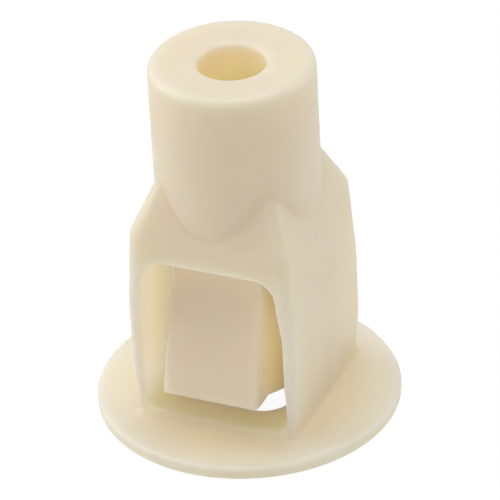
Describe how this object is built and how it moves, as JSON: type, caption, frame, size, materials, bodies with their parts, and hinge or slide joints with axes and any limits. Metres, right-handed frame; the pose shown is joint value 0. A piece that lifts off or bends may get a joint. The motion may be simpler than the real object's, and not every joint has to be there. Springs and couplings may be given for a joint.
{
  "type": "body panel clip",
  "caption": "One-piece moulded panel clip with a round flange, a square cage with locking tongues, and a screw boss.",
  "frame": {"origin": "centre of the flange's underside, on the axis of the screw bore", "axes": "+Z along the screw bore from the flange to the boss; -Y and +Y look out of the two open windows that hold the locking tongues; +X and -X face the closed side walls"},
  "size_m": [0.02, 0.02, 0.0254],
  "materials": {
    "natural_nylon": "natural ivory nylon, satin, slightly translucent"
  },
  "bodies": {
    "root": {"clip_moulding": "natural_nylon"}
  },
  "joints": []
}
